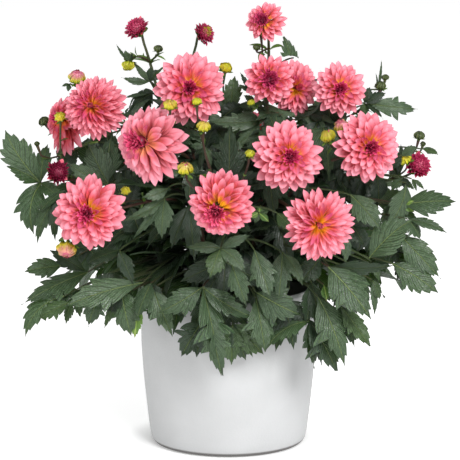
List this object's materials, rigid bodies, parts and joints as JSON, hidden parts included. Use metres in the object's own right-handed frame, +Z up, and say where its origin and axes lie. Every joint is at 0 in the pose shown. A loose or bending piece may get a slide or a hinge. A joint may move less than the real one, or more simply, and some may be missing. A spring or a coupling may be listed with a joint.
{
  "type": "potted dahlia",
  "caption": "Leafy dahlia in a round white planter with soil, carrying double pink blooms, half-open heads and round buds",
  "frame": {"origin": "centre of the planter's foot, on the surface that it stands on", "axes": "+Z up, -Y to the side that the blooms face, +X to the right seen from there"},
  "size_m": [0.5606, 0.4358, 0.5481],
  "materials": {
    "planter": "matte",
    "soil": "crumbly, dark and moist",
    "foliage": "satin fresh leaf with pale veins",
    "petals": "velvety, yellow at the petal bases",
    "hearts": "velvety dark crimson"
  },
  "bodies": {
    "root": {"pot": "planter", "soil": "soil", "leafy_stem_front": "foliage", "leafy_stem_front_right": "foliage", "leafy_stem_right": "foliage", "leafy_stem_back_right": "foliage", "leafy_stem_back": "foliage", "leafy_stem_back_left": "foliage", "leafy_stem_left": "foliage", "leafy_stem_front_left": "foliage", "bloom_1_petals": "petals", "bloom_2_petals": "petals", "bloom_3_petals": "petals", "bloom_4_petals": "petals", "bloom_5_petals": "petals", "bloom_6_petals": "petals", "bloom_7_petals": "petals", "bloom_8_petals": "petals", "bloom_9_petals": "petals", "bloom_10_petals": "petals", "bloom_11_petals": "petals", "bloom_12_petals": "petals", "bloom_13_petals": "petals", "bloom_14_petals": "petals", "bloom_15_petals": "petals", "bloom_16_petals": "petals", "bloom_1_heart": "hearts", "bloom_2_heart": "hearts", "bloom_3_heart": "hearts", "bloom_4_heart": "hearts", "bloom_5_heart": "hearts", "bloom_6_heart": "hearts", "bloom_7_heart": "hearts", "bloom_8_heart": "hearts", "bloom_9_heart": "hearts", "bloom_10_heart": "hearts", "bloom_11_heart": "hearts", "bloom_12_heart": "hearts", "bloom_13_heart": "hearts", "bloom_14_heart": "hearts", "bloom_15_heart": "hearts", "bloom_16_heart": "hearts", "opening_1": "hearts", "opening_2": "hearts", "opening_3": "hearts", "opening_4": "hearts"}
  },
  "joints": []
}
